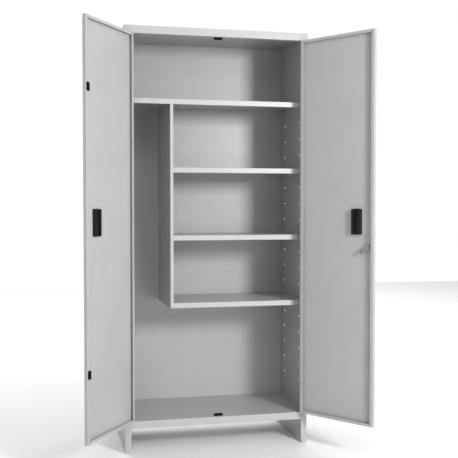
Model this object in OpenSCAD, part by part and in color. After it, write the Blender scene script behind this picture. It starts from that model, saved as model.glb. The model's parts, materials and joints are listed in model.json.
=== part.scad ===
/* [Cabinet] */
// Width over the two side panels
cab_w = 800; // [760:10:1000]
// Depth from the front plane to the rear flanges
cab_d = 400; // [380:10:500]
// Height above the floor
cab_h = 1800; // [1760:10:2000]
// Thickness of the sheet steel
sheet = 1; // [0.8:0.1:1.2]
// Height of the feet under the bottom rail
foot_h = 105; // [80:1:120]

/* [Frame] */
// Width of the post that each side panel folds into at the front
post_w = 25; // [23:1:32]
// Depth of the post's inward return
post_return = 28; // [24:1:34]
// Width of the flanges at the rear of the side panels and of the top
rear_flange = 15; // [12:1:20]
// Height of the rail under the top
top_rail_h = 32.5; // [28:0.5:40]
// Height of the rail at the bottom
bottom_rail_h = 31.5; // [28:0.5:40]
// Depth of the return behind the top rail
rail_return = 36; // [34:1:44]
// Width of the flanges that weld the panels together
weld_flange = 20; // [14:1:24]

/* [Shelves] */
// Distance of the shelf fronts behind the front plane
shelf_setback = 43; // [40:1:60]
// Height of a shelf's front and rear folds
shelf_fold = 22; // [18:1:28]
// Depth of the hem under the front fold
shelf_hem = 10; // [6:1:14]
// Play between a shelf and the walls beside it
shelf_play = 0.5; // [0.3:0.1:1]
// Distance between shelf holes
hole_pitch = 73; // [70:0.5:74]
// Height of the lowest shelf hole above the bottom panel
hole_start = 120; // [100:1:130]
// Diameter of a shelf hole
hole_d = 8.5; // [7.5:0.5:9.5]
// Distance of the front column of holes behind the front plane
hole_front = 115; // [100:1:130]
// Distance of the rear column of holes before the back
hole_rear = 65; // [50:1:80]
// Number of the hole that carries the lowest shelf, counted from zero
low_shelf_hole = 5; // [4:1:5]
// Holes from one shelf to the next
shelf_step = 4; // [3:1:4]

/* [Shelf clips] */
// Distance of a shelf's top above the hole that carries it
clip_drop = 7; // [6:0.5:9]
// Length of a clip under the shelf
clip_l = 12; // [9:1:14]
// Clearance of a clip's peg in its hole
peg_play = 0.25; // [0.1:0.05:0.4]

/* [Partition] */
// Clear width of the broom space left of the partition
broom_w = 199; // [160:1:240]
// Width of the partition's front fold
partition_fold = 13; // [10:1:18]
// Width of the flange and of the tabs that fix the partition
partition_flange = 16; // [14:1:20]
// Height of a rear tab
tab_h = 30; // [24:1:40]

/* [Doors] */
// Thickness of a door over its inner lips
door_t = 15; // [13:1:18]
// Gap between a door and the post beside it
door_side_gap = 1.5; // [1:0.1:2.5]
// Half of the gap between the two doors
door_centre_gap = 1; // [1:0.1:2]
// Gap over a door
door_top_gap = 4; // [2:0.5:5]
// Gap under a door
door_bottom_gap = 2; // [1.5:0.5:4]
// Width of the lip along the hinge edge
hinge_lip = 15; // [12:1:20]
// Width of the lip along the free edge
free_lip = 15; // [12:1:17]
// Width of the lips along the top and the bottom
end_lip = 12; // [9:1:16]
// Slit between two lips that meet at a corner
corner_slit = 2; // [1:0.5:3]
// Angle at which both doors stand open
door_open = 125; // [90:1:150]

/* [Hinges] */
// Number of hinges on a door
hinge_count = 3; // [2:1:4]
// Height of a hinge's barrel
hinge_h = 60; // [50:1:80]
// Radius of the barrel
barrel_r = 5; // [4.5:0.1:5.3]
// Radius of the hinge pin
pin_r = 2.5; // [2:0.1:2.8]
// Distance of the hinge axis before the front plane
axis_out = 5.5; // [5.5:0.1:6]
// Distance of the hinge axis outside the inner edge of the post
axis_side = 2; // [1.6:0.1:3]
// Width of a hinge leaf from the axis
leaf_w = 20; // [14:1:20]
// Thickness of a hinge leaf
leaf_t = 2; // [1.5:0.1:2.4]
// Distance of the outer hinges from the ends of the door
hinge_inset = 165; // [120:5:240]

/* [Handles] */
// Width of the handle's housing behind the door
handle_w = 45; // [40:0.5:50]
// Height of the handle's housing
handle_h = 105; // [90:0.5:110]
// Distance of the housing from the door's free edge
handle_edge = 65; // [60:1:80]
// Height of the handle's centre above the floor
handle_z = 982; // [970:1:1100]
// Width of the rim that lies on the door
handle_rim = 5; // [3:0.5:8]
// Thickness of that rim
rim_t = 1.2; // [0.8:0.1:2]
// Radius of the rim's corners
rim_r = 5; // [2:0.5:8]
// Wall of the moulded housing
handle_wall = 2; // [1.5:0.1:2.5]
// Width of the channel in the back of the housing
channel_w = 16.5; // [14:0.5:19]
// Depth of that channel
channel_d = 8; // [4:0.5:9]
// Distance of the channel from the housing's side towards the free edge
channel_side = 17.5; // [13:0.5:19]
// Height of a snap lug on the housing
lug_h = 1.5; // [1:0.1:2]

/* [Lock] */
// Distance of the lock's axis from the free edge
lock_edge = 28.5; // [28:0.5:32]
// Height of the lock's axis above the floor
lock_z = 876; // [860:1:890]
// Radius of the lock barrel
lock_r = 9.5; // [8:0.5:9.5]
// Radius of the key plug
plug_r = 6; // [5:0.5:6.5]
// Thickness of the lock's head on the door
lock_head = 3; // [2:0.5:4]
// Length of the cam from the axis to its tip
cam_l = 45; // [42:1:48]
// Width of the cam
cam_w = 14; // [12:0.5:16]
// Thickness of the cam
cam_t = 2; // [1.5:0.1:2.5]
// Angle at which the unlocked cam hangs below the level
cam_turned = 30; // [0:1:60]

/* [Catches] */
// Width of a magnetic catch
catch_w = 36; // [32:1:45]
// Depth of a magnetic catch
catch_d = 14; // [12:0.5:18]
// Height of a magnetic catch
catch_h = 9; // [8:0.5:11]
// Offset of the catches to the right of the middle
catch_shift = 5; // [0:1:10]
// Width of the magnet between the catch's screws
magnet_w = 18; // [14:1:20]

/* [Door blocks] */
// Width of a door block
block_w = 18; // [17:1:30]
// Height of a door block
block_h = 32; // [28:1:45]
// Thickness of a door block over the lip
block_t = 5; // [4:0.5:9]
// Distance of a block from the free edge
block_edge = 2.5; // [2:0.5:4]
// Height of the upper block's centre above the floor
upper_block_z = 1494; // [1450:1:1520]
// Height of the lower block's centre above the floor
lower_block_z = 406; // [380:1:440]

/* [Hidden] */
$fn = 48;

// Clearance between pieces that pass each other, running clearance of a pin, and seat of a pin
fit = 0.3;
pin_play = 0.08;
pin_seat = 0.02;
// Overlap that makes a cut go clean through
cut = 1;

grey = [0.79, 0.80, 0.81];
black = [0.10, 0.10, 0.11];
zinc = [0.66, 0.66, 0.64];
magnet_grey = [0.30, 0.30, 0.31];

// The origin is on the floor under the middle of the cabinet, and the front faces -Y
half_w = cab_w / 2;
front_y = -cab_d / 2;
rear_y = cab_d / 2;
wall_x = half_w - sheet;
post_x = half_w - post_w;
post_rear_y = front_y + post_return;
flange_y = rear_y - sheet;
back_y = flange_y - sheet;
floor_z = foot_h + bottom_rail_h;
ceiling_z = cab_h - sheet;
opening_top = cab_h - top_rail_h;

// Shelves, from the front of their folds to their rear edge
shelf_front_y = front_y + shelf_setback;
shelf_rear_y = back_y - shelf_play;
top_shelf_hole = low_shelf_hole + 3 * shelf_step;
low_level = hole_z(low_shelf_hole) + clip_drop;
middle_level = hole_z(low_shelf_hole + shelf_step) + clip_drop;
upper_level = hole_z(low_shelf_hole + 2 * shelf_step) + clip_drop;
top_level = hole_z(top_shelf_hole) + clip_drop;
column_y = [front_y + hole_front, back_y - hole_rear];
clip_r = clip_drop;
peg_r = hole_d / 2 - peg_play;

// Partition and the rivets that fix it
partition_x = -wall_x + broom_w;
partition_bottom = low_level - shelf_fold;
partition_top = top_level - sheet;
rivet_r = 2;
rivet_head_r = 3.8;
rivet_tail_r = 2.8;
rivet_head_t = 0.9;
rivet_x = partition_x + partition_flange / 2 + sheet;
tab_z = [(low_level + middle_level) / 2, (middle_level + upper_level) / 2, (upper_level + top_level) / 2];

// Doors, worked out closed: the right one is described and the left one mirrors it
door_edge_x = post_x - door_side_gap;
door_bottom = floor_z + door_bottom_gap;
door_top = opening_top - door_top_gap;
lip_y = front_y + door_t;
axis_x = post_x + axis_side;
axis_y = front_y - axis_out;
hinge_span = door_top - door_bottom - 2 * hinge_inset;
knuckle_gap = 0.4;
knuckle_h = (hinge_h - knuckle_gap) / 2;
pin_short = 2;
leaf_margin = 3;

// Handles and lock on the closed right door
handle_x = door_centre_gap + handle_edge;
handle_back_y = lip_y - fit;
pan_floor_y = handle_back_y - channel_d - handle_wall;
pocket_floor_y = handle_back_y - handle_wall;
lug_l = 20;
lug_t = 2;
housing_r = 2;
lock_x = door_centre_gap + lock_edge;
lock_flange = 2;
nut_t = 4;
nut_rim = 3.5;
nut_r = lock_r + nut_rim;
cam_gap = 0.8;
barrel_end_y = lip_y + cam_gap;
cam_y = barrel_end_y + fit;
cam_screw_r = 2;
cam_head_r = 4;
cam_head_t = 3;
cam_thread = 8;
key_w = 1.6;
key_l = 7;
key_d = 10;

// Catches under the top rail's return and on the bottom panel
catch_gap = 0.5;
catch_y = lip_y + catch_gap;
catch_wall = 1.5;
catch_screw_r = 1.6;
catch_head_r = 3;
catch_head_t = 1.5;
catch_screw_inset = 5;
catch_screw_x = catch_w / 2 - catch_screw_inset;
catch_tail = 2;

// Door blocks clipped on the left door's free lip
block_hook = 4;
block_r = 2;

function hole_z(i) = floor_z + hole_start + i * hole_pitch;
function hinge_z(i) = door_bottom + hinge_inset + i * hinge_span / (hinge_count - 1) - hinge_h / 2;

// A box from its low corner to its high corner
module box(low, high) {
    translate(low) cube(high - low);
}

// Flat piece between two planes of Y, with its four corners rounded in X and Z
module plate(low, high, r) {
    size = high - low;
    translate([low[0], high[1], low[2]]) rotate([90, 0, 0]) linear_extrude(size[1]) {
        translate([r, 0]) square([size[0] - 2 * r, size[2]]);
        translate([0, r]) square([size[0], size[2] - 2 * r]);
        for (x = [r, size[0] - r], z = [r, size[2] - r]) translate([x, z]) circle(r = r);
    }
}

module mirrored() {
    mirror([1, 0, 0]) children();
}

// Turns a right-hand door piece about the hinge, from closed to where the door stands open
module opened() {
    translate([axis_x, axis_y, 0]) rotate([0, 0, door_open]) translate([-axis_x, -axis_y, 0]) children();
}

// A cylinder along +X or +Y from a point
module along_x(from, r, l) {
    translate(from) rotate([0, 90, 0]) cylinder(r = r, h = l);
}

module along_y(from, r, l) {
    translate(from) rotate([-90, 0, 0]) cylinder(r = r, h = l);
}

// Both columns of shelf holes through a sheet that starts at x, from one row to another
module shelf_holes(x, first, last) {
    for (y = column_y, i = [first : last])
        along_x([x - cut, y, hole_z(i)], hole_d / 2, sheet + 2 * cut);
}

// Right-hand side panel, one sheet from the post's return round to the rear flange
module side_panel() {
    difference() {
        linear_extrude(ceiling_z) polygon([
            [half_w, front_y], [half_w, rear_y], [half_w - rear_flange, rear_y],
            [half_w - rear_flange, flange_y], [wall_x, flange_y], [wall_x, front_y + sheet],
            [post_x + sheet, front_y + sheet], [post_x + sheet, post_rear_y],
            [post_x, post_rear_y], [post_x, front_y]
        ]);
        shelf_holes(wall_x, 0, top_shelf_hole);
    }
}

module left_side_panel() {
    color(grey) mirrored() side_panel();
}

module right_side_panel() {
    color(grey) side_panel();
}

// Top sheet with the front rail, the rail's return, and flanges down inside the walls and at the rear
module top_panel() {
    color(grey) difference() {
        union() {
            box([-half_w, front_y, ceiling_z], [half_w, rear_y, cab_h]);
            box([-post_x, front_y, opening_top], [post_x, front_y + sheet, cab_h]);
            box([-post_x, front_y, opening_top], [post_x, front_y + rail_return, opening_top + sheet]);
            box([-half_w + rear_flange, flange_y, ceiling_z - rear_flange],
                [half_w - rear_flange, rear_y, ceiling_z]);
            for (side = [0, 1]) mirror([side, 0, 0])
                box([wall_x - sheet, post_rear_y, ceiling_z - weld_flange], [wall_x, back_y, ceiling_z]);
        }
        translate([0, 0, opening_top]) catch_screw_holes();
    }
}

// Bottom sheet with the front rail turned down and in, and flanges down at the sides and the rear
module bottom_panel() {
    color(grey) difference() {
        union() {
            box([-post_x, front_y, floor_z - sheet], [post_x, post_rear_y, floor_z]);
            box([-wall_x, post_rear_y, floor_z - sheet], [wall_x, back_y, floor_z]);
            box([-post_x, front_y, foot_h], [post_x, front_y + sheet, floor_z]);
            box([-post_x, front_y, foot_h], [post_x, front_y + weld_flange, foot_h + sheet]);
            box([-post_x, back_y - sheet, foot_h], [post_x, back_y, floor_z]);
            for (side = [0, 1]) mirror([side, 0, 0])
                box([wall_x - sheet, post_rear_y, floor_z - weld_flange], [wall_x, back_y, floor_z]);
        }
        translate([0, 0, floor_z - sheet]) catch_screw_holes();
    }
}

// Flat back sheet that lies inside the rear flanges
module back_panel() {
    color(grey) difference() {
        box([-wall_x, back_y, foot_h], [wall_x, flange_y, ceiling_z]);
        for (z = tab_z) along_y([rivet_x, back_y - cut, z], rivet_r, sheet + 2 * cut);
    }
}

// Inner plate of a foot, with the sole, a rear flange, and a flange under the bottom sheet
module foot_plate() {
    box([post_x, post_rear_y, 0], [post_x + sheet, back_y, floor_z - sheet]);
    box([post_x, post_rear_y, 0], [wall_x, back_y, sheet]);
    box([post_x, back_y, 0], [wall_x, flange_y, foot_h]);
    box([post_x, post_rear_y, floor_z - 2 * sheet], [wall_x - sheet - fit, back_y, floor_z - sheet]);
}

module left_foot_plate() {
    color(grey) mirrored() foot_plate();
}

module right_foot_plate() {
    color(grey) foot_plate();
}

// Shelf with a folded and hemmed front edge and a folded rear edge
module shelf(x_low, x_high, y_front, level) {
    fold_z = level - shelf_fold;
    box([x_low, y_front, level - sheet], [x_high, shelf_rear_y, level]);
    box([x_low, y_front, fold_z], [x_high, y_front + sheet, level]);
    box([x_low, y_front, fold_z], [x_high, y_front + shelf_hem, fold_z + sheet]);
    box([x_low, shelf_rear_y - sheet, fold_z], [x_high, shelf_rear_y, level]);
}

module top_shelf() {
    color(grey) difference() {
        shelf(-wall_x + shelf_play, wall_x - shelf_play, shelf_front_y, top_level);
        for (y = column_y) translate([rivet_x, y, top_level - sheet - cut])
            cylinder(r = rivet_r, h = sheet + 2 * cut);
    }
}

// A shelf of the right-hand bay, with its front just behind the partition's fold
module bay_shelf(level) {
    color(grey) shelf(partition_x + sheet + shelf_play, wall_x - shelf_play,
        shelf_front_y + sheet + fit, level);
}

module upper_shelf() {
    bay_shelf(upper_level);
}

module middle_shelf() {
    bay_shelf(middle_level);
}

module lower_shelf() {
    bay_shelf(low_level);
}

// Partition that hangs from the top shelf, folded at the front, with a top flange and rear tabs
module partition() {
    fold_z = top_level - shelf_fold - fit;
    flange_x = partition_x + sheet + partition_flange;
    color(grey) difference() {
        union() {
            box([partition_x, shelf_front_y, partition_bottom], [partition_x + sheet, back_y, fold_z]);
            box([partition_x, shelf_front_y + shelf_hem + fit, fold_z],
                [partition_x + sheet, shelf_rear_y - sheet - fit, partition_top]);
            box([partition_x, shelf_front_y, partition_bottom],
                [partition_x + partition_fold, shelf_front_y + sheet, fold_z]);
            box([partition_x, column_y[0] - partition_flange, partition_top - sheet],
                [flange_x, column_y[1] + partition_flange, partition_top]);
            for (z = tab_z)
                box([partition_x, back_y - sheet, z - tab_h / 2], [flange_x, back_y, z + tab_h / 2]);
        }
        shelf_holes(partition_x, low_shelf_hole, top_shelf_hole - 1);
        for (y = column_y) translate([rivet_x, y, partition_top - sheet - cut])
            cylinder(r = rivet_r, h = sheet + 2 * cut);
        for (z = tab_z)
            along_y([rivet_x, back_y - sheet - cut, z], rivet_r, sheet + 2 * cut);
    }
}

// Clip at the origin: a peg through the wall towards -X, and a round body with a flat top under the shelf
module clip() {
    along_x([-sheet, 0, 0], peg_r, sheet + cut);
    difference() {
        along_x([0, 0, 0], clip_r, clip_l);
        box([-cut, -clip_r - cut, clip_drop - sheet], [clip_l + cut, clip_r + cut, clip_r + cut]);
    }
}

module clips(x, rows) {
    for (y = column_y, i = rows) translate([x, y, hole_z(i)]) clip();
}

module left_wall_clips() {
    color(zinc) clips(-wall_x, [top_shelf_hole]);
}

module right_wall_clips() {
    color(zinc) mirrored() clips(-wall_x, [low_shelf_hole : shelf_step : top_shelf_hole]);
}

module partition_clips() {
    color(zinc) clips(partition_x + sheet, [low_shelf_hole : shelf_step : top_shelf_hole - 1]);
}

// Rivet with its head below the origin and its formed tail above two sheets
module rivet() {
    translate([0, 0, -rivet_head_t]) cylinder(r = rivet_head_r, h = rivet_head_t);
    cylinder(r = rivet_r - pin_seat, h = 2 * sheet);
    translate([0, 0, 2 * sheet]) cylinder(r = rivet_tail_r, h = rivet_head_t);
}

module partition_top_rivets() {
    color(zinc) for (y = column_y) translate([rivet_x, y, partition_top - sheet]) rivet();
}

module partition_rear_rivets() {
    color(zinc) for (z = tab_z) translate([rivet_x, back_y - sheet, z]) rotate([-90, 0, 0]) rivet();
}

module catch_screw_holes() {
    for (side = [-1, 1])
        translate([catch_shift + side * catch_screw_x, catch_y + catch_d / 2, -cut])
            cylinder(r = catch_screw_r, h = sheet + 2 * cut);
}

// Catch that hangs from z = 0, with a pocket for the magnet in its front
module catch_housing() {
    difference() {
        box([catch_shift - catch_w / 2, catch_y, -catch_h],
            [catch_shift + catch_w / 2, catch_y + catch_d, 0]);
        box([catch_shift - magnet_w / 2, catch_y - cut, -catch_h + catch_wall],
            [catch_shift + magnet_w / 2, catch_y + catch_d - catch_wall, -catch_wall]);
        for (side = [-1, 1]) translate([catch_shift + side * catch_screw_x, catch_y + catch_d / 2, 0]) {
            translate([0, 0, -catch_h - cut]) cylinder(r = catch_screw_r, h = catch_h + 2 * cut);
            translate([0, 0, -catch_h - cut]) cylinder(r = catch_head_r, h = catch_head_t + cut);
        }
    }
}

module catch_magnet() {
    box([catch_shift - magnet_w / 2 + pin_play, catch_y, -catch_h + catch_wall + pin_play],
        [catch_shift + magnet_w / 2 - pin_play, catch_y + catch_d - catch_wall - pin_play,
         -catch_wall - pin_play]);
}

module catch_screws() {
    for (side = [-1, 1]) translate([catch_shift + side * catch_screw_x, catch_y + catch_d / 2, -catch_h]) {
        cylinder(r = catch_head_r - pin_play, h = catch_head_t);
        cylinder(r = catch_screw_r - pin_seat, h = catch_h + sheet + catch_tail);
    }
}

module at_upper_catch() {
    translate([0, 0, opening_top]) children();
}

module at_lower_catch() {
    translate([0, 0, floor_z]) mirror([0, 0, 1]) children();
}

module upper_catch_housing() {
    color(black) at_upper_catch() catch_housing();
}

module upper_catch_magnet() {
    color(magnet_grey) at_upper_catch() catch_magnet();
}

module upper_catch_screws() {
    color(zinc) at_upper_catch() catch_screws();
}

module lower_catch_housing() {
    color(black) at_lower_catch() catch_housing();
}

module lower_catch_magnet() {
    color(magnet_grey) at_lower_catch() catch_magnet();
}

module lower_catch_screws() {
    color(zinc) at_lower_catch() catch_screws();
}

// One knuckle of a lift-off hinge from z = 0, with a leaf that reaches from the axis to x_end
module knuckle(x_end, bore_r) {
    difference() {
        union() {
            translate([axis_x, axis_y, 0]) cylinder(r = barrel_r, h = knuckle_h);
            box([min(axis_x, x_end), front_y - leaf_t, 0], [max(axis_x, x_end), front_y, knuckle_h]);
        }
        translate([axis_x, axis_y, -cut]) cylinder(r = bore_r, h = knuckle_h + 2 * cut);
    }
}

module frame_hinges() {
    for (i = [0 : hinge_count - 1])
        translate([0, 0, hinge_z(i)]) knuckle(half_w - leaf_margin, pin_r + pin_seat);
}

module door_hinges() {
    for (i = [0 : hinge_count - 1])
        translate([0, 0, hinge_z(i) + knuckle_h + knuckle_gap]) knuckle(axis_x - leaf_w, pin_r + pin_play);
}

module hinge_pins() {
    for (i = [0 : hinge_count - 1])
        translate([axis_x, axis_y, hinge_z(i)]) cylinder(r = pin_r, h = hinge_h - pin_short);
}

module left_frame_hinges() {
    color(grey) mirrored() frame_hinges();
}

module right_frame_hinges() {
    color(grey) frame_hinges();
}

module left_hinge_pins() {
    color(zinc) mirrored() hinge_pins();
}

module right_hinge_pins() {
    color(zinc) hinge_pins();
}

// Right-hand door sheet, a shallow tray with lips turned in on all four sides
module door_skin() {
    free_x = door_centre_gap;
    end_low_x = free_x + free_lip;
    end_high_x = door_edge_x - hinge_lip - corner_slit;
    difference() {
        box([free_x, front_y, door_bottom], [door_edge_x, lip_y, door_top]);
        box([free_x + sheet, front_y + sheet, door_bottom + sheet],
            [door_edge_x - sheet, lip_y - sheet, door_top - sheet]);
        box([free_x + free_lip, lip_y - sheet - cut, door_bottom + end_lip],
            [door_edge_x - hinge_lip, lip_y + cut, door_top - end_lip]);
        for (x = [end_low_x, end_high_x], z = [door_bottom - cut, door_top - end_lip - cut])
            box([x, lip_y - sheet - cut, z], [x + corner_slit, lip_y + cut, z + end_lip + 2 * cut]);
        box([handle_x - fit, front_y - cut, handle_z - handle_h / 2 - fit],
            [handle_x + handle_w + fit, front_y + sheet + cut, handle_z + handle_h / 2 + fit]);
    }
}

module left_door_skin() {
    color(grey) mirrored() opened() door_skin();
}

module right_door_skin() {
    color(grey) opened() difference() {
        door_skin();
        along_y([lock_x, front_y - cut, lock_z], lock_r + fit, sheet + 2 * cut);
    }
}

module left_door_hinges() {
    color(grey) mirrored() opened() door_hinges();
}

module right_door_hinges() {
    color(grey) opened() door_hinges();
}

// Recessed pull: a shallow pan with a deep finger pocket towards the free edge, and a channel in its back
module handle() {
    low_z = handle_z - handle_h / 2;
    high_z = handle_z + handle_h / 2;
    far_x = handle_x + handle_w;
    channel_x = handle_x + channel_side;
    difference() {
        union() {
            plate([handle_x, front_y - rim_t, low_z], [far_x, handle_back_y, high_z], housing_r);
            plate([handle_x - handle_rim, front_y - rim_t, low_z - handle_rim],
                [far_x + handle_rim, front_y, high_z + handle_rim], rim_r);
            for (z = [low_z - lug_h, high_z])
                box([handle_x + (handle_w - lug_l) / 2, front_y + sheet + fit, z],
                    [handle_x + (handle_w + lug_l) / 2, front_y + sheet + fit + lug_t, z + lug_h]);
        }
        box([channel_x, handle_back_y - channel_d, low_z - cut],
            [channel_x + channel_w, handle_back_y + cut, high_z + cut]);
        box([handle_x + handle_wall, front_y - rim_t - cut, low_z + handle_wall],
            [far_x - handle_wall, pan_floor_y, high_z - handle_wall]);
        box([handle_x + handle_wall, pan_floor_y - cut, low_z + handle_wall],
            [channel_x - handle_wall, pocket_floor_y, high_z - handle_wall]);
    }
}

module left_handle() {
    color(black) mirrored() opened() handle();
}

module right_handle() {
    color(black) opened() handle();
}

// Block clipped over the edge of the left door's free lip, described on the right-hand door
module door_block(z) {
    near_x = door_centre_gap + block_edge;
    far_x = near_x + block_w;
    lip_edge = door_centre_gap + free_lip;
    hook_y = lip_y - sheet - fit;
    translate([0, 0, z - block_h / 2]) linear_extrude(block_h) union() {
        translate([near_x, lip_y]) square([block_w, block_t - block_r]);
        translate([near_x + block_r, lip_y]) square([block_w - 2 * block_r, block_t]);
        for (x = [near_x + block_r, far_x - block_r])
            translate([x, lip_y + block_t - block_r]) circle(r = block_r);
        translate([lip_edge + fit, hook_y - sheet])
            square([far_x - lip_edge - fit, lip_y - hook_y + sheet + cut]);
        translate([lip_edge - block_hook, hook_y - sheet]) square([far_x - lip_edge + block_hook, sheet]);
    }
}

module upper_door_block() {
    color(black) mirrored() opened() door_block(upper_block_z);
}

module lower_door_block() {
    color(black) mirrored() opened() door_block(lower_block_z);
}

// Lock barrel with its head on the outside of the door
module lock_housing() {
    color(zinc) opened() difference() {
        union() {
            along_y([lock_x, front_y - lock_head, lock_z], lock_r + lock_flange, lock_head);
            along_y([lock_x, front_y - lock_head, lock_z], lock_r, barrel_end_y - front_y + lock_head);
        }
        along_y([lock_x, front_y - lock_head - cut, lock_z], plug_r + pin_play,
            barrel_end_y - front_y + lock_head + 2 * cut);
    }
}

// Hexagonal nut behind the door sheet
module lock_nut() {
    color(zinc) opened() difference() {
        translate([lock_x, front_y + sheet, lock_z]) rotate([-90, 0, 0])
            cylinder(r = nut_r, h = nut_t, $fn = 6);
        along_y([lock_x, front_y + sheet - cut, lock_z], lock_r + pin_seat, nut_t + 2 * cut);
    }
}

// Key plug with its slot in front and the thread for the cam's screw behind
module lock_plug() {
    plug_front = front_y - lock_head;
    color(zinc) opened() difference() {
        along_y([lock_x, plug_front, lock_z], plug_r, cam_y - plug_front);
        translate([lock_x, plug_front, lock_z]) rotate([0, cam_turned, 0])
            box([-key_l / 2, -cut, -key_w / 2], [key_l / 2, key_d, key_w / 2]);
        along_y([lock_x, cam_y - cam_thread, lock_z], cam_screw_r, cam_thread + cut);
    }
}

// Flat cam that points at the hinge side and a little down when unlocked
module lock_cam() {
    color(zinc) opened() translate([lock_x, cam_y, lock_z]) rotate([-90, 0, 0]) linear_extrude(cam_t)
        rotate(cam_turned) difference() {
            union() {
                circle(d = cam_w);
                translate([0, -cam_w / 2]) square([cam_l - cam_w / 2, cam_w]);
                translate([cam_l - cam_w / 2, 0]) circle(d = cam_w);
            }
            circle(r = cam_screw_r);
        }
}

module cam_screw() {
    color(zinc) opened() {
        translate([lock_x, cam_y + cam_t, lock_z]) rotate([-90, 0, 0]) rotate(cam_turned)
            cylinder(r = cam_head_r, h = cam_head_t, $fn = 6);
        along_y([lock_x, cam_y - cam_thread + fit, lock_z], cam_screw_r - pin_seat, cam_thread + cam_t);
    }
}

left_side_panel();
right_side_panel();
top_panel();
bottom_panel();
back_panel();
left_foot_plate();
right_foot_plate();
top_shelf();
partition();
upper_shelf();
middle_shelf();
lower_shelf();
left_wall_clips();
right_wall_clips();
partition_clips();
partition_top_rivets();
partition_rear_rivets();
upper_catch_housing();
upper_catch_magnet();
lower_catch_housing();
lower_catch_magnet();
upper_catch_screws();
lower_catch_screws();
left_frame_hinges();
right_frame_hinges();
left_hinge_pins();
right_hinge_pins();
left_door_skin();
left_door_hinges();
left_handle();
upper_door_block();
lower_door_block();
right_door_skin();
right_door_hinges();
right_handle();
lock_housing();
lock_nut();
lock_plug();
lock_cam();
cam_screw();
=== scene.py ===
# %% [markdown]
# # A broom cabinet in folded sheet steel
# A tall utility cabinet with two doors is a good first exercise in sheet metal: nearly every piece
# is one flat blank that a press has folded. This lesson dresses an exact model of it. We keep the
# sizes of that model, round the folds as a press brake leaves them, spin the small fasteners from
# their outlines, and give each piece its finish. Sizes are in metres, apart from the outlines of
# the small fasteners, which are in millimetres.

# %% Load the exact model
import json
import math

import bmesh
import bpy
from mathutils import Matrix, Vector


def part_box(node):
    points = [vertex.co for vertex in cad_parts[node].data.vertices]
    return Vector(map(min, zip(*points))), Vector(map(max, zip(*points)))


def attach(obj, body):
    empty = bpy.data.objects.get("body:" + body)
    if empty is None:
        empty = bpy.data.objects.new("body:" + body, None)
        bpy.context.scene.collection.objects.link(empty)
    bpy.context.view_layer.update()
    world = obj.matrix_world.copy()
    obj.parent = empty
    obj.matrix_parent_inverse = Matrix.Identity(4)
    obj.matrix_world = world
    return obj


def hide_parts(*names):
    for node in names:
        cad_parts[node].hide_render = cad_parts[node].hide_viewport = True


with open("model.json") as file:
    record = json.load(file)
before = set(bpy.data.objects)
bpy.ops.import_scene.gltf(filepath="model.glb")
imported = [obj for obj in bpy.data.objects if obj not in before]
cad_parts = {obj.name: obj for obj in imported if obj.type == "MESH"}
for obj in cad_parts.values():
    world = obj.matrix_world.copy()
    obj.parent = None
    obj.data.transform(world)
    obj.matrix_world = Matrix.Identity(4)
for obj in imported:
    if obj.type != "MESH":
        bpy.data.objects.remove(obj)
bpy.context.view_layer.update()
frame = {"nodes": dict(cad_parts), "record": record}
record = frame["record"]
body_of_node = {n: b for b, nodes in record["behaviour"]["bodies"].items() for n in nodes}
slot_of_node = {s["node"]: s["material_slot"] for s in record["subparts"]}

# %% [markdown]
# ## The camera first
# The picture was taken from the left of the cabinet, a little above its middle. The position, the
# directions and the focal length below were worked out from the cabinet's own straight edges, whose
# real sizes are known. Setting the camera before anything else means that every later choice is
# judged from the right place. A lens of 65 mm takes in both open doors from less than four metres.

# %% Helpers that place things


def linked(name, data):
    """Makes an object of the data and puts it in the scene."""
    made = bpy.data.objects.new(name, data)
    bpy.context.scene.collection.objects.link(made)
    return made


def looking(at, direction):
    """The matrix of a camera or lamp that stands at a point and looks in a direction."""
    return Matrix.Translation(at) @ direction.to_track_quat("-Z", "Y").to_matrix().to_4x4()


# %% Camera
IMAGE_PX = 458
FOCAL_PX = 827.4
CENTRE_PX = (226.9, 235.2)
SENSOR_MM = 36.0
VIEW_DEPTH = 60.0
CAMERA_AT = Vector((-0.7583, -3.6673, 1.0420))
YAW = math.radians(12.94)
PITCH = math.radians(-1.94)

camera_data = bpy.data.cameras.new("camera")
camera_data.sensor_width = SENSOR_MM
camera_data.lens = FOCAL_PX / IMAGE_PX * SENSOR_MM
camera_data.shift_x = (IMAGE_PX / 2 - CENTRE_PX[0]) / IMAGE_PX
camera_data.shift_y = (CENTRE_PX[1] - IMAGE_PX / 2) / IMAGE_PX
camera_data.clip_end = VIEW_DEPTH
camera = linked("camera", camera_data)
forward = Vector((math.sin(YAW) * math.cos(PITCH), math.cos(YAW) * math.cos(PITCH), math.sin(PITCH)))
camera.matrix_world = looking(CAMERA_AT, forward)
bpy.context.scene.camera = camera
print("lens", round(camera_data.lens, 1), "mm, camera", [round(v, 3) for v in CAMERA_AT])

# %% [markdown]
# ## Floor and backdrop
# The cabinet stands in a bright studio: a plain pale floor, and a plain white wall seven metres
# behind. A painted wall would need lamps of its own to look white, and they would also light the
# cabinet's back. So the backdrop glows by itself, just enough to be white in the picture.

# %% Helpers for plain surfaces


def new_material(name):
    material = bpy.data.materials.new(name)
    material.use_nodes = True
    return material, material.node_tree.nodes["Principled BSDF"]


def opaque(red, green, blue):
    return (red, green, blue, 1.0)


def quad(name, corners, material):
    """One flat face that belongs to the studio and not to the cabinet."""
    mesh = bpy.data.meshes.new(name)
    mesh.from_pydata(corners, [], [(0, 1, 2, 3)])
    made = linked(name, mesh)
    mesh.materials.append(material)


# %% Floor
FLOOR_SIZE = 30.0
FLOOR_TONE = 0.85
FLOOR_ROUGHNESS = 0.8

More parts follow.
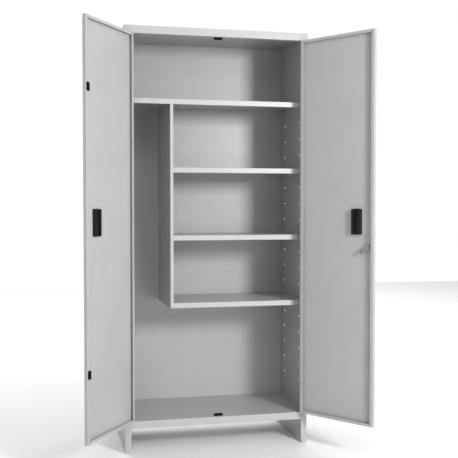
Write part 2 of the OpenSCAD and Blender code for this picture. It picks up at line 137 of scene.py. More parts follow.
half = FLOOR_SIZE / 2
floor_paint, shader = new_material("pale_floor")
shader.inputs["Base Color"].default_value = opaque(FLOOR_TONE, FLOOR_TONE, FLOOR_TONE)
shader.inputs["Roughness"].default_value = FLOOR_ROUGHNESS
quad("floor", [(-half, -half, 0), (half, -half, 0), (half, half, 0), (-half, half, 0)], floor_paint)
print("floor", FLOOR_SIZE, "m square")

# %% Backdrop
BACKDROP_Y = 7.0
BACKDROP_HEIGHT = 9.0
BACKDROP_GLOW = 1.0

backdrop_glow, shader = new_material("lit_backdrop")
shader.inputs["Base Color"].default_value = opaque(0.0, 0.0, 0.0)
shader.inputs["Emission Color"].default_value = opaque(1.0, 1.0, 1.0)
shader.inputs["Emission Strength"].default_value = BACKDROP_GLOW
quad("backdrop", [(-half, BACKDROP_Y, 0), (half, BACKDROP_Y, 0), (half, BACKDROP_Y, BACKDROP_HEIGHT),
                  (-half, BACKDROP_Y, BACKDROP_HEIGHT)], backdrop_glow)
print("backdrop", FLOOR_SIZE, "m wide and", BACKDROP_HEIGHT, "m high")

# %% [markdown]
# ## Lamps
# The key lamp is a soft box half a metre wide, right of the camera and at 1.66 m: its place follows
# from the shadows that the right post and the shelves throw on the back panel, and its width from
# how soft their edges are. It stands well away from the camera, because satin sheet would mirror a
# strong lamp beside it. A lamp overhead lights the level sheets, a low one the free space at the
# bottom, one at the left opens the shadows, and one behind brightens the floor there. A weak world
# light fills the rest. All the lamps are out of the camera's view.

# %% Lamps and world light
WORLD_STRENGTH = 0.32
LAMPS = [
    # name, place, aimed at, width, height, watts
    ("key_lamp", (1.22, -2.90, 1.66), (0.10, -0.10, 1.0), 0.52, 0.60, 75.0),
    ("overhead_lamp", (-0.10, -3.00, 3.10), (0.0, -0.20, 0.7), 2.4, 1.6, 30.0),
    ("low_lamp", (0.90, -3.50, 0.45), (-0.10, 0.0, 0.30), 1.2, 0.5, 14.0),
    ("side_lamp", (-2.10, -4.60, 1.20), (0.0, 0.0, 1.0), 2.0, 1.6, 21.0),
    ("background_lamp", (0.0, 3.60, 4.00), (0.0, 3.60, 0.0), 8.0, 4.0, 240.0),
]


def soft_lamp(name, at, aim, width, height, watts):
    data = bpy.data.lights.new(name, "AREA")
    data.shape = "RECTANGLE"
    data.size = width
    data.size_y = height
    data.energy = watts
    linked(name, data).matrix_world = looking(at, Vector(aim) - Vector(at))


for lamp_values in LAMPS:
    soft_lamp(*lamp_values)
world = bpy.data.worlds.new("studio")
world.use_nodes = True
background = world.node_tree.nodes["Background"]
background.inputs["Color"].default_value = opaque(1.0, 1.0, 1.0)
background.inputs["Strength"].default_value = WORLD_STRENGTH
bpy.context.scene.world = world
bpy.context.scene.view_settings.view_transform = "Standard"

# %% [markdown]
# ## Helpers for finishes
# Every finish below is built from noise on the object's own coordinates. A photographed texture
# would repeat over a panel 1.8 m high and blur when seen from near. Noise does neither, and it
# stays fixed to the piece when a door turns. One helper spreads a noise between two tones, one
# between two values, and one turns noises into small bumps.

# %% Helpers for finishes
NOISE_LOW = 0.3
NOISE_HIGH = 0.7


def add(tree, kind, **settings):
    """Adds a node. A setting is the value of an input, or else a property of the node."""
    made = tree.nodes.new(kind)
    for key, value in settings.items():
        if key in made.inputs:
            made.inputs[key].default_value = value
        else:
            setattr(made, key, value)
    return made


def noise(tree, per_metre, detail):
    """A noise on Object coordinates, with so many waves to the metre."""
    made = add(tree, "ShaderNodeTexNoise", Scale=per_metre, Detail=detail)
    coordinates = add(tree, "ShaderNodeTexCoord")
    tree.links.new(coordinates.outputs["Object"], made.inputs["Vector"])
    return made.outputs["Fac"]


def spread(tree, source, low, high, socket):
    """Drives a colour by a noise, whose values lie mostly between NOISE_LOW and NOISE_HIGH."""
    ramp = add(tree, "ShaderNodeValToRGB")
    first, last = ramp.color_ramp.elements
    first.position = NOISE_LOW
    first.color = opaque(*low)
    last.position = NOISE_HIGH
    last.color = opaque(*high)
    tree.links.new(source, ramp.inputs["Fac"])
    tree.links.new(ramp.outputs["Color"], socket)


def spread_value(tree, source, low, high, socket):
    """Drives a plain value in the same way, as a grey."""
    spread(tree, source, (low,) * 3, (high,) * 3, socket)


def bumps(tree, shader, layers):
    """Chains bump nodes, one for each (noise, height, strength)."""
    previous = None
    for source, height, strength in layers:
        bump = add(tree, "ShaderNodeBump", Strength=strength, Distance=height)
        tree.links.new(source, bump.inputs["Height"])
        if previous:
            tree.links.new(previous.outputs["Normal"], bump.inputs["Normal"])
        previous = bump
    tree.links.new(previous.outputs["Normal"], shader.inputs["Normal"])


# %% [markdown]
# ## Powder coat
# Steel cabinets are sprayed with dry powder and baked. The coat is semi-gloss, very slightly uneven
# in tone, and covered with a fine orange peel about a millimetre across. Two noises make it: a small
# one for the peel, which only tilts the surface, and a large faint one for the tone, the gloss and
# the slight waves of thin sheet.

# %% Powder coat
COAT_DARK = (0.397, 0.397, 0.404)
COAT_LIGHT = (0.417, 0.417, 0.424)
COAT_ROUGHNESS = (0.32, 0.36)
COAT_SPECULAR = 0.25
PEEL_PER_M = 850.0
PEEL_DETAIL = 2.0
PEEL_HEIGHT = 0.00004
PEEL_STRENGTH = 0.25
WAVE_PER_M = 7.0
WAVE_DETAIL = 1.0
WAVE_HEIGHT = 0.0004
WAVE_STRENGTH = 0.12

powder_coat, shader = new_material("powder_coat")
tree = powder_coat.node_tree
peel = noise(tree, PEEL_PER_M, PEEL_DETAIL)
wave = noise(tree, WAVE_PER_M, WAVE_DETAIL)
spread(tree, wave, COAT_DARK, COAT_LIGHT, shader.inputs["Base Color"])
spread_value(tree, wave, *COAT_ROUGHNESS, shader.inputs["Roughness"])
shader.inputs["Specular IOR Level"].default_value = COAT_SPECULAR
bumps(tree, shader, [(wave, WAVE_HEIGHT, WAVE_STRENGTH), (peel, PEEL_HEIGHT, PEEL_STRENGTH)])
print("powder coat: peel of about", round(1000 / PEEL_PER_M, 2), "mm")

# %% [markdown]
# ## Black plastic
# The pulls, blocks and catches are moulded: nearly black, with the fine grain of a spark-eroded
# mould. The pulls are handled and have some gloss. The blocks and catches are matt, so they stay
# black even where we see them at a flat angle. One helper makes both, because only the gloss
# differs.

# %% Black plastic
BLACK_DARK = (0.004, 0.004, 0.004)
BLACK_LIGHT = (0.008, 0.008, 0.008)
PULL_ROUGHNESS = (0.34, 0.46)
PULL_SPECULAR = 0.32
MATT_ROUGHNESS = (0.70, 0.85)
MATT_SPECULAR = 0.05
PATCHES_PER_M = 40.0
PATCHES_DETAIL = 2.0
GRAIN_PER_M = 1600.0
GRAIN_DETAIL = 3.0
GRAIN_HEIGHT = 0.00005
GRAIN_STRENGTH = 0.5


def moulded_black(name, roughness, specular):
    material, shader = new_material(name)
    tree = material.node_tree
    grain = noise(tree, GRAIN_PER_M, GRAIN_DETAIL)
    patches = noise(tree, PATCHES_PER_M, PATCHES_DETAIL)
    spread(tree, patches, BLACK_DARK, BLACK_LIGHT, shader.inputs["Base Color"])
    spread_value(tree, grain, *roughness, shader.inputs["Roughness"])
    shader.inputs["Specular IOR Level"].default_value = specular
    bumps(tree, shader, [(grain, GRAIN_HEIGHT, GRAIN_STRENGTH)])
    return material


black_plastic = moulded_black("black_plastic", PULL_ROUGHNESS, PULL_SPECULAR)
matt_plastic = moulded_black("matt_black_plastic", MATT_ROUGHNESS, MATT_SPECULAR)
print("black mouldings:", black_plastic.name, matt_plastic.name)

# %% [markdown]
# ## Zinc plate
# The cam, clips, pins, rivets and screws are bright zinc on steel. Plating grows in crystals too
# small to see one by one, which leaves a faint mottling of tone and gloss a few millimetres across.
# A full metal with one noise shows that.

# %% Zinc plate
ZINC_DARK = (0.44, 0.45, 0.46)
ZINC_LIGHT = (0.60, 0.60, 0.60)
ZINC_ROUGHNESS = (0.20, 0.30)
MOTTLE_PER_M = 260.0
MOTTLE_DETAIL = 3.0
MOTTLE_HEIGHT = 0.00003
MOTTLE_STRENGTH = 0.3

zinc_plate, shader = new_material("zinc_plate")
tree = zinc_plate.node_tree
mottle = noise(tree, MOTTLE_PER_M, MOTTLE_DETAIL)
spread(tree, mottle, ZINC_DARK, ZINC_LIGHT, shader.inputs["Base Color"])
spread_value(tree, mottle, *ZINC_ROUGHNESS, shader.inputs["Roughness"])
shader.inputs["Metallic"].default_value = 1.0
bumps(tree, shader, [(mottle, MOTTLE_HEIGHT, MOTTLE_STRENGTH)])
print("zinc plate: mottling of about", round(1000 / MOTTLE_PER_M, 1), "mm")

# %% [markdown]
# ## Ferrite
# The magnet in each catch is a bar of pressed and fired ferrite, a dark ceramic that is quite matt.
# A fine speckle is all that it needs.

# %% Ferrite
FERRITE_DARK = (0.004, 0.004, 0.005)
FERRITE_LIGHT = (0.010, 0.010, 0.011)
FERRITE_ROUGHNESS = 0.8
FERRITE_SPECULAR = 0.05
SPECKLE_PER_M = 900.0
SPECKLE_DETAIL = 4.0
SPECKLE_HEIGHT = 0.00004
SPECKLE_STRENGTH = 0.4

ferrite, shader = new_material("ferrite")
tree = ferrite.node_tree
speckle = noise(tree, SPECKLE_PER_M, SPECKLE_DETAIL)
spread(tree, speckle, FERRITE_DARK, FERRITE_LIGHT, shader.inputs["Base Color"])
shader.inputs["Roughness"].default_value = FERRITE_ROUGHNESS
shader.inputs["Specular IOR Level"].default_value = FERRITE_SPECULAR
bumps(tree, shader, [(speckle, SPECKLE_HEIGHT, SPECKLE_STRENGTH)])
print("ferrite: speckle of about", round(1000 / SPECKLE_PER_M, 1), "mm")

# %% [markdown]
# ## A finish for every piece
# The exact model says which kind of material each piece has. Its pieces take their finish by that,
# apart from the matt mouldings, which are listed by name.

# %% Give out the finishes
FINISHES = {"powder_coat": powder_coat, "black_plastic": black_plastic,
            "zinc_plate": zinc_plate, "ferrite": ferrite}
MATT_MOULDINGS = ["upper_catch_housing", "lower_catch_housing", "upper_door_block", "lower_door_block"]


def finish_of(node_name):
    return matt_plastic if node_name in MATT_MOULDINGS else FINISHES[slot_of_node[node_name]]


for node_name, node_object in frame["nodes"].items():
    node_object.data.materials.clear()
    node_object.data.materials.append(finish_of(node_name))
print("finishes on", len(frame["nodes"]), "pieces")

# %% [markdown]
# ## Rounded edges
# A sharp model betrays itself at once in the light along its edges. A real edge is always a little
# round, and a bevel makes it so. The exact pieces are loose triangles, so each piece is first
# copied and its triangles are merged into plain faces. Then every sharp edge gets a weight, and the
# bevel's width follows the weights.

# %% Helpers for rounding
SAME_POINT = 1e-6
SAME_PLANE = math.radians(1.0)
SHARP = math.radians(30)


def merged_copy(node_name):
    """A copy of an exact piece's mesh, its loose triangles merged into plain faces."""
    mesh = bmesh.new()
    mesh.from_mesh(frame["nodes"][node_name].data)
    bmesh.ops.remove_doubles(mesh, verts=mesh.verts, dist=SAME_POINT)
    bmesh.ops.dissolve_limit(mesh, angle_limit=SAME_PLANE, verts=mesh.verts, edges=mesh.edges)
    return mesh


def sharp_edges(mesh):
    return [e for e in mesh.edges if len(e.link_faces) == 2 and e.calc_face_angle() >= SHARP]


# %% [markdown]
# ## Shading that keeps flat sheet flat
# Smooth shading blends the directions of all the faces round a corner. On a bevelled panel it would
# bend the light over the whole flat face. So each corner takes the mean direction of the faces that
# turn only a little from its own, and the larger face counts for more. The wide face stays flat up
# to its rounded edge, and the edge still looks round.

# %% Helper for shading
TURN = math.radians(50)


def shade_smoothly(mesh):
    faces_at = [[] for _ in mesh.vertices]
    for face in mesh.polygons:
        face.use_smooth = True
        for vertex in face.vertices:
            faces_at[vertex].append(face.index)
    normals = [face.normal.copy() for face in mesh.polygons]
    areas = [face.area for face in mesh.polygons]
    corners = []
    for face in mesh.polygons:
        own = normals[face.index]
        for vertex in face.vertices:
            total = Vector((0.0, 0.0, 0.0))
            for other in faces_at[vertex]:
                if own.dot(normals[other]) > math.cos(TURN):
                    total += normals[other] * areas[other]
            corners.append(total.normalized() if total.length > 0 else own)
    mesh.normals_split_custom_set(corners)


# %% [markdown]
# ## Standing in for the exact piece
# A dressed piece takes the place of its exact one. It rides on the same body, so that a door's
# pieces turn with that door, and it keeps the kind of material. The modifiers are worked out to a
# plain mesh first, so that what is exported is what we see.

# %% Helpers that hand a piece over


def hand_over(made, node_name):
    plain = bpy.data.meshes.new_from_object(made.evaluated_get(bpy.context.evaluated_depsgraph_get()))
    made.modifiers.clear()
    made.data = plain
    shade_smoothly(plain)
    plain.materials.clear()
    plain.materials.append(finish_of(node_name))
    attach(made, body_of_node[node_name])
    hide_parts(node_name)
    return len(plain.polygons)


def bevelled(name, mesh, node_name, segments, radius):
    """Makes an object of the mesh, rounds it by its edge weights and hands it over."""
    data = bpy.data.meshes.new(name)
    mesh.to_mesh(data)
    mesh.free()
    made = linked(name, data)
    bevel = made.modifiers.new("round", "BEVEL")
    bevel.width = radius
    bevel.segments = segments
    bevel.limit_method = "WEIGHT"
    bevel.use_clamp_overlap = True
    return hand_over(made, node_name)


# %% [markdown]
# ## Folded sheet
# A press brake bends sheet over a radius: outside, the fold is round by a little more than the
# sheet's thickness, and inside by less. The cut edges are only deburred. The edges can be told
# apart by their faces: a fold lies between two wide ones, while a cut edge borders one as narrow as
# the sheet. Edges under five millimetres, as round the holes and across the sheet's thickness, stay
# as they are.

# %% Helper for sheet
NARROW = 0.0016
SHORT = 0.005
FOLD_RADIUS = 0.0012
INNER_SHARE = 0.35
CUT_SHARE = 0.16
FOLD_SEGMENTS = 3


def width_of(face):
    return face.calc_area() / max(e.calc_length() for e in face.edges)


def folded_sheet(node_name):
    mesh = merged_copy(node_name)
    weights = mesh.edges.layers.float.new("bevel_weight_edge")
    folds = 0
    for edge in sharp_edges(mesh):
        if edge.calc_length() < SHORT:
            continue
        if min(width_of(f) for f in edge.link_faces) < NARROW:
            edge[weights] = CUT_SHARE
            continue
        edge[weights] = 1.0 if edge.is_convex else INNER_SHARE
        folds += 1
    return folds, bevelled("sheet_" + node_name, mesh, node_name, FOLD_SEGMENTS, FOLD_RADIUS)


# %% Round the folds of every sheet
SHEETS = ["left_side_panel", "right_side_panel", "top_panel", "bottom_panel", "back_panel",
          "left_foot_plate", "right_foot_plate", "top_shelf", "partition", "upper_shelf",
          "middle_shelf", "lower_shelf", "left_door_skin", "right_door_skin"]
for sheet_name in SHEETS:
    folds, faces = folded_sheet(sheet_name)
    print(sheet_name, "fold edges", folds, "faces", faces)

# %% [markdown]
# ## Moulded and stamped pieces
# A moulded or stamped piece has the same small round on all its edges, because it comes from one
# tool. So every sharp edge gets the full weight, and only the radius differs: plastic leaves its
# mould rounder than steel leaves its die.

# %% Round the other pieces
PLASTIC_RADIUS = 0.0006
PLASTIC_SEGMENTS = 3
METAL_RADIUS = 0.00025
METAL_SEGMENTS = 2
MOULDED = ["left_handle", "right_handle", "upper_door_block", "lower_door_block",
           "upper_catch_housing", "lower_catch_housing"]
METAL = ["left_frame_hinges", "right_frame_hinges", "left_door_hinges", "right_door_hinges",
         "lock_housing", "lock_nut", "lock_plug", "lock_cam", "cam_screw"]


def rounded(node_name, radius, segments):
    mesh = merged_copy(node_name)
    weights = mesh.edges.layers.float.new("bevel_weight_edge")
    for edge in sharp_edges(mesh):
        edge[weights] = 1.0
    return bevelled("piece_" + node_name, mesh, node_name, segments, radius)


for piece_name in MOULDED:
    print(piece_name, "faces", rounded(piece_name, PLASTIC_RADIUS, PLASTIC_SEGMENTS))
for piece_name in METAL:
    print(piece_name, "faces", rounded(piece_name, METAL_RADIUS, METAL_SEGMENTS))

# %% [markdown]
# ## Rivets, screws, pins and clips
# Thirty-one small pieces are headed from wire or turned from bar, and they come in rows: rivets,
# catch screws, hinge pins and shelf clips. Each could be a spun mesh copied by hand, but a row with
# one wrong step is easily missed. So one Geometry Nodes tree makes them all. It takes half an
# outline as the object's own mesh, spins it round Z, turns it the way it points, and sets it out in
# columns and rows.

# %% The tree's inputs, and helpers for its nodes
TREE_INPUTS = [("Outline", "Geometry"), ("Segments", "Int"), ("Turn", "Vector"), ("Flat top", "Float"),
               ("Cross", "Float"), ("First", "Vector"), ("Columns", "Int"), ("Column step", "Vector"),
               ("Rows", "Int"), ("Row step", "Vector"), ("Finish", "Material")]

row_tree = bpy.data.node_groups.new("spun_rows", "GeometryNodeTree")
for input_name, kind in TREE_INPUTS:
    row_tree.interface.new_socket(name=input_name, in_out="INPUT", socket_type="NodeSocket" + kind)
row_tree.interface.new_socket(name="Pieces", in_out="OUTPUT", socket_type="NodeSocketGeometry")
given = add(row_tree, "NodeGroupInput").outputs


def math_node(operation, *values):
    """A math node whose values are numbers or outputs of other nodes."""
    made = add(row_tree, "ShaderNodeMath", operation=operation)
    for place, value in enumerate(values):
        if isinstance(value, bpy.types.NodeSocket):
            row_tree.links.new(value, made.inputs[place])
        else:
            made.inputs[place].default_value = value
    return made.outputs[0]


def joined(kind, wires, **settings):
    """A node of a kind, with its inputs wired by name."""
    made = add(row_tree, kind, **settings)
    for input_name, output in wires.items():
        row_tree.links.new(output, made.inputs[input_name])
    return made


print("inputs of the tree:", [name for name, kind in TREE_INPUTS])

# %% [markdown]
# ## Spinning the outline
# A lathe turns a section round its axis. In nodes, a flat grid serves: it has a column of points
# for each point of the outline and a row for each step round. Every grid point works out from its
# own number which outline point it belongs to and how far round it stands, and moves there. The
# faces are flipped to point outwards, and a merge closes the seam and the poles.

# %% Spin
point_count = joined("GeometryNodeAttributeDomainSize", {"Geometry": given["Outline"]})
around = math_node("ADD", given["Segments"], 1.0)
grid = joined("GeometryNodeMeshGrid", {"Vertices X": point_count.outputs["Point Count"],
                                       "Vertices Y": around})
index = add(row_tree, "GeometryNodeInputIndex").outputs[0]
ring = math_node("FLOOR", math_node("DIVIDE", index, around))
angle = math_node("MULTIPLY", math_node("MODULO", index, around),
                  math_node("DIVIDE", 2 * math.pi, given["Segments"]))
position = add(row_tree, "GeometryNodeInputPosition").outputs[0]
looked_up = joined("GeometryNodeSampleIndex", {}, data_type="FLOAT_VECTOR")
row_tree.links.new(given["Outline"], looked_up.inputs["Geometry"])
row_tree.links.new(position, looked_up.inputs["Value"])
row_tree.links.new(ring, looked_up.inputs["Index"])
outline_point = joined("ShaderNodeSeparateXYZ", {"Vector": looked_up.outputs[0]}).outputs
spun_point = joined("ShaderNodeCombineXYZ", {
    "X": math_node("MULTIPLY", outline_point["X"], math_node("COSINE", angle)),
    "Y": math_node("MULTIPLY", outline_point["X"], math_node("SINE", angle)),
    "Z": outline_point["Z"]})
spun = joined("GeometryNodeSetPosition", {"Geometry": grid.outputs["Mesh"],
                                          "Position": spun_point.outputs[0]})
outwards = joined("GeometryNodeFlipFaces", {"Mesh": spun.outputs[0]})
closed = joined("GeometryNodeMergeByDistance", {"Geometry": outwards.outputs[0]}, Distance=SAME_POINT)
print("nodes for the spin:", len(row_tree.nodes))

# %% [markdown]
# ## A cross in the screw's head
# The punch leaves a cross-shaped pit in a screw's head. Cutting two crossed bars out of the head is
# simple and leaves it closed, where a modelled pit would need its own faces. The exact solver is
# needed: the fast one leaves open edges here. An outline without a cross passes by the cut.

# %% Cut the cross
BAR_SHARE = 0.28
DEPTH_SHARE = 0.9

bar_width = math_node("MULTIPLY", given["Cross"], BAR_SHARE)
bar_depth = math_node("MULTIPLY", given["Cross"], DEPTH_SHARE)
cross = joined("GeometryNodeMeshBoolean", {"Mesh 1": closed.outputs["Geometry"]},
               operation="DIFFERENCE", solver="EXACT")
for along, across in ((given["Cross"], bar_width), (bar_width, given["Cross"])):
    bar_size = joined("ShaderNodeCombineXYZ", {"X": along, "Y": across, "Z": bar_depth})
    bar = joined("GeometryNodeMeshCube", {"Size": bar_size.outputs[0]})
    row_tree.links.new(bar.outputs["Mesh"], cross.inputs["Mesh 2"])
crossed = joined("GeometryNodeMergeByDistance", {"Geometry": cross.outputs["Mesh"]}, Distance=SAME_POINT)
headed = joined("GeometryNodeSwitch", {"Switch": math_node("GREATER_THAN", given["Cross"], 0.0),
                                       "False": closed.outputs["Geometry"],
                                       "True": crossed.outputs["Geometry"]})
print("nodes with the cross:", len(row_tree.nodes))

# %% [markdown]
# ## Turning, and setting out in rows
# The piece is turned the way it points. A shelf clip has a flat on top, on which the shelf lies:
# every point above the flat is held down to it. One line of points then carries copies of the piece
# as a row, and a second line carries copies of the row. Realize Instances makes them real, because
# an export drops instances.

# %% Turn, flatten and set out
turned = joined("GeometryNodeTransform", {"Geometry": headed.outputs[0], "Rotation": given["Turn"]})
turned_point = joined("ShaderNodeSeparateXYZ", {"Vector": position}).outputs
held_point = joined("ShaderNodeCombineXYZ", {
    "X": turned_point["X"],
    "Y": turned_point["Y"],
    "Z": math_node("MINIMUM", turned_point["Z"], given["Flat top"])})
held_down = joined("GeometryNodeSetPosition", {"Geometry": turned.outputs[0],
                                               "Position": held_point.outputs[0]})
columns = joined("GeometryNodeMeshLine", {"Count": given["Columns"], "Offset": given["Column step"]})
rows = joined("GeometryNodeMeshLine", {"Count": given["Rows"], "Start Location": given["First"],
                                       "Offset": given["Row step"]})
one_row = joined("GeometryNodeInstanceOnPoints", {"Points": columns.outputs["Mesh"],
                                                  "Instance": held_down.outputs[0]})
all_rows = joined("GeometryNodeInstanceOnPoints", {"Points": rows.outputs["Mesh"],
                                                   "Instance": one_row.outputs[0]})
real = joined("GeometryNodeRealizeInstances", {"Geometry": all_rows.outputs[0]})
finished = joined("GeometryNodeSetMaterial", {"Geometry": real.outputs[0], "Material": given["Finish"]})
result = add(row_tree, "NodeGroupOutput")
row_tree.links.new(finished.outputs[0], result.inputs["Pieces"])
input_items = [item for item in row_tree.interface.items_tree if item.in_out == "INPUT"]
input_id = {item.name: item.identifier for item in input_items}
print("nodes in the whole tree:", len(row_tree.nodes), "inputs:", len(input_id))

# %% [markdown]
# ## Outlines
# An outline is half a section, listed from the axis at one end to the axis at the other, as
# (distance from the axis, height), both in millimetres. Each outline stays within the box of its
# exact piece, so that the dressed piece is never larger.

# %% Outline helpers
MM = 0.001
ARC_STEPS = 5
SHEET_T = 1.0


def arc(centre_r, centre_z, size_r, size_z, start, stop):
    """Points along part of an ellipse, between two angles in degrees."""
    points = []
    for i in range(ARC_STEPS + 1):
        a = math.radians(start + (stop - start) * i / ARC_STEPS)
        points.append((centre_r + size_r * math.cos(a), centre_z + size_z * math.sin(a)))
    return points


# %% [markdown]
# ## Pull rivet
# A pull rivet is set from one side. It has a low dome with the pit that its broken pin leaves, a
# shank through both sheets, and a tail that the pin has squeezed out. The dome lies below height
# zero, and its arc starts at the pit's rim.

# %% Rivet
RIVET_HEAD_R = 3.8
RIVET_HEAD_T = 0.9
RIVET_PIT_R = 0.75
RIVET_PIT_Z = -0.45
RIVET_PIT_RIM = -76.0
RIVET_SHANK_R = 2.0
RIVET_GRIP = 2 * SHEET_T
RIVET_TAIL_R = 2.8
RIVET_TAIL_FOOT_R = 2.5
RIVET_TAIL_START = 8.0
RIVET_SPARE = 0.02

RIVET = ([(0.0, RIVET_PIT_Z), (RIVET_PIT_R, RIVET_PIT_Z)]
         + arc(0.0, 0.0, RIVET_HEAD_R - RIVET_SPARE, RIVET_HEAD_T - RIVET_SPARE,
               RIVET_PIT_RIM, 0.0)
         + [(RIVET_SHANK_R, 0.0), (RIVET_SHANK_R, RIVET_GRIP), (RIVET_TAIL_FOOT_R, RIVET_GRIP)]
         + arc(0.0, RIVET_GRIP, RIVET_TAIL_R - RIVET_SPARE, RIVET_HEAD_T - RIVET_SPARE,
               RIVET_TAIL_START, 90.0))
RIVET_D = 2 * RIVET_HEAD_R
RIVET_LENGTH = RIVET_GRIP + 2 * RIVET_HEAD_T
print("rivet", RIVET_D, "by", RIVET_LENGTH, "mm, points", len(RIVET))

# %% [markdown]
# ## Catch screw
# The catches are held by small self-tapping screws. The top of the head lies at height zero, and
# its rim is rounded. The head is flat below, and the shank ends in a short blunt cone.

# %% Screw
SCREW_HEAD_R = 2.92
SCREW_HEAD_T = 1.5
SCREW_HEAD_ROUND = 0.42
SCREW_SHANK_R = 1.58
SCREW_LENGTH = 12.0
SCREW_POINT_R = 1.0
SCREW_POINT_H = 0.8
SCREW_CROSS = 2.6

SCREW = ([(0.0, 0.0)]
         + arc(SCREW_HEAD_R - SCREW_HEAD_ROUND, SCREW_HEAD_ROUND, SCREW_HEAD_ROUND, SCREW_HEAD_ROUND,
               -90.0, 0.0)
         + [(SCREW_HEAD_R, SCREW_HEAD_T), (SCREW_SHANK_R, SCREW_HEAD_T),
            (SCREW_SHANK_R, SCREW_LENGTH - SCREW_POINT_H), (SCREW_POINT_R, SCREW_LENGTH),
            (0.0, SCREW_LENGTH)])
print("screw", SCREW_LENGTH, "mm, points", len(SCREW))

# %% [markdown]
# ## Hinge pin
# The door is lifted onto its pins, so each pin has a domed upper end that finds its way into the
# knuckle. The lower end is only broken at its edge.

# %% Pin
PIN_R = 2.5
PIN_LENGTH = 58.0
PIN_EDGE = 0.6
PIN_DOME = 2.0
PIN_SPARE = 0.01

PIN = ([(0.0, 0.0)]
       + arc(PIN_R - PIN_EDGE, PIN_EDGE, PIN_EDGE - PIN_SPARE, PIN_EDGE, -90.0, 0.0)
       + arc(0.0, PIN_LENGTH - PIN_DOME, PIN_R - PIN_SPARE, PIN_DOME, 0.0, 90.0))
print("pin", PIN_LENGTH, "mm, points", len(PIN))

# %% [markdown]
# ## Shelf clip
# A clip is a peg through the wall's hole and a round body beside the wall, with a flat on top for
# the shelf. Peg and body are turned in one piece.

# %% Clip
CLIP_PEG_R = 4.0
CLIP_PEG_EDGE = 0.3
CLIP_BODY_R = 7.0
CLIP_ROUND = 0.5
CLIP_LENGTH = 13.0
CLIP_FLAT = 6.0

clip_round_r = CLIP_BODY_R - CLIP_ROUND
CLIP = ([(0.0, 0.0), (CLIP_PEG_R - CLIP_PEG_EDGE, 0.0), (CLIP_PEG_R, CLIP_PEG_EDGE),
         (CLIP_PEG_R, SHEET_T)]
        + arc(clip_round_r, SHEET_T + CLIP_ROUND, CLIP_ROUND, CLIP_ROUND, -90.0, 0.0)
        + arc(clip_round_r, CLIP_LENGTH - CLIP_ROUND, CLIP_ROUND, CLIP_ROUND, 0.0, 90.0)
        + [(0.0, CLIP_LENGTH)])
print("clip", CLIP_LENGTH, "mm, points", len(CLIP))

# %% [markdown]
# ## Setting out every row
# Each group of small pieces is one piece of the exact model, and its box says where the first and
# the last one sit. From the counts along x, y and z and the box of one piece, the steps between
# them follow, so no place is typed twice. A clip's wall carries a front and a rear column.

# %% Helper for rows
ROUND_SEGMENTS = 40
NO_FLAT = 1000.0


def spun_rows(node_name, outline, counts, size, origin, turn, flat_top=NO_FLAT, cross=0.0):
    """Sets out counts of one outline in the exact piece's box. size is one piece's box, origin is
    where its outline starts in that box, flat_top is how high a flat lies over the axis, and cross
    is the width of the cross, all in millimetres."""
    low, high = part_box(node_name)
    steps = [0.0, 0.0, 0.0]
    first = [0.0, 0.0, 0.0]
    for axis in range(3):
        gaps = counts[axis] - 1
        if gaps:
            steps[axis] = (high[axis] - low[axis] - size[axis] * MM) / gaps
        first[axis] = high[axis] - (size[axis] - origin[axis]) * MM - gaps * steps[axis]
    data = bpy.data.meshes.new("spun_" + node_name)
    data.from_pydata([(r * MM, 0.0, z * MM) for r, z in outline],
                     [(i, i + 1) for i in range(len(outline) - 1)], [])
    made = linked("spun_" + node_name, data)
    rows_modifier = made.modifiers.new("rows", "NODES")
    rows_modifier.node_group = row_tree
    values = {"Segments": ROUND_SEGMENTS, "Turn": turn, "Flat top": flat_top * MM,
              "Cross": cross * MM, "First": first,
              "Columns": counts[0] * counts[1], "Column step": (steps[0], steps[1], 0.0),
              "Rows": counts[2], "Row step": (0.0, 0.0, steps[2]), "Finish": finish_of(node_name)}
    for value_name, value in values.items():
        rows_modifier[input_id[value_name]] = value
    print(node_name, "pieces", math.prod(counts), "faces", hand_over(made, node_name))


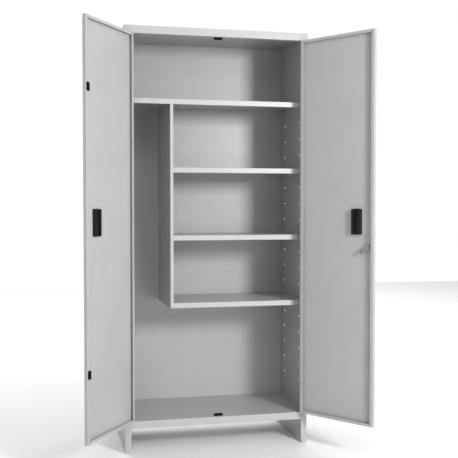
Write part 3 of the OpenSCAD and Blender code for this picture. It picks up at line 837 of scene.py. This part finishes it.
# %% Rivets of the partition
UP = (0.0, 0.0, 0.0)
TO_BACK = (-math.pi / 2, 0.0, 0.0)

spun_rows("partition_top_rivets", RIVET, (1, 2, 1), (RIVET_D, RIVET_D, RIVET_LENGTH),
          (RIVET_HEAD_R, RIVET_HEAD_R, RIVET_HEAD_T), UP)
spun_rows("partition_rear_rivets", RIVET, (1, 1, 3), (RIVET_D, RIVET_LENGTH, RIVET_D),
          (RIVET_HEAD_R, RIVET_HEAD_T, RIVET_HEAD_R), TO_BACK)

# %% Screws of the catches
DOWN = (math.pi, 0.0, 0.0)
SCREW_BOX = (2 * SCREW_HEAD_R, 2 * SCREW_HEAD_R, SCREW_LENGTH)

spun_rows("upper_catch_screws", SCREW, (2, 1, 1), SCREW_BOX, (SCREW_HEAD_R, SCREW_HEAD_R, 0.0), UP,
          cross=SCREW_CROSS)
spun_rows("lower_catch_screws", SCREW, (2, 1, 1), SCREW_BOX,
          (SCREW_HEAD_R, SCREW_HEAD_R, SCREW_LENGTH), DOWN, cross=SCREW_CROSS)

# %% Pins of the hinges
for side in ("left", "right"):
    spun_rows(side + "_hinge_pins", PIN, (1, 1, 3), (2 * PIN_R, 2 * PIN_R, PIN_LENGTH),
              (PIN_R, PIN_R, 0.0), UP)

# %% Clips of the shelves
TO_RIGHT = (0.0, math.pi / 2, 0.0)
TO_LEFT = (0.0, -math.pi / 2, 0.0)
CLIP_BOX = (CLIP_LENGTH, 2 * CLIP_BODY_R, CLIP_BODY_R + CLIP_FLAT)
WALL_AT_LEFT = (0.0, CLIP_BODY_R, CLIP_BODY_R)
WALL_AT_RIGHT = (CLIP_LENGTH, CLIP_BODY_R, CLIP_BODY_R)

spun_rows("left_wall_clips", CLIP, (1, 2, 1), CLIP_BOX, WALL_AT_LEFT, TO_RIGHT, CLIP_FLAT)
spun_rows("right_wall_clips", CLIP, (1, 2, 4), CLIP_BOX, WALL_AT_RIGHT, TO_LEFT, CLIP_FLAT)
spun_rows("partition_clips", CLIP, (1, 2, 3), CLIP_BOX, WALL_AT_LEFT, TO_RIGHT, CLIP_FLAT)
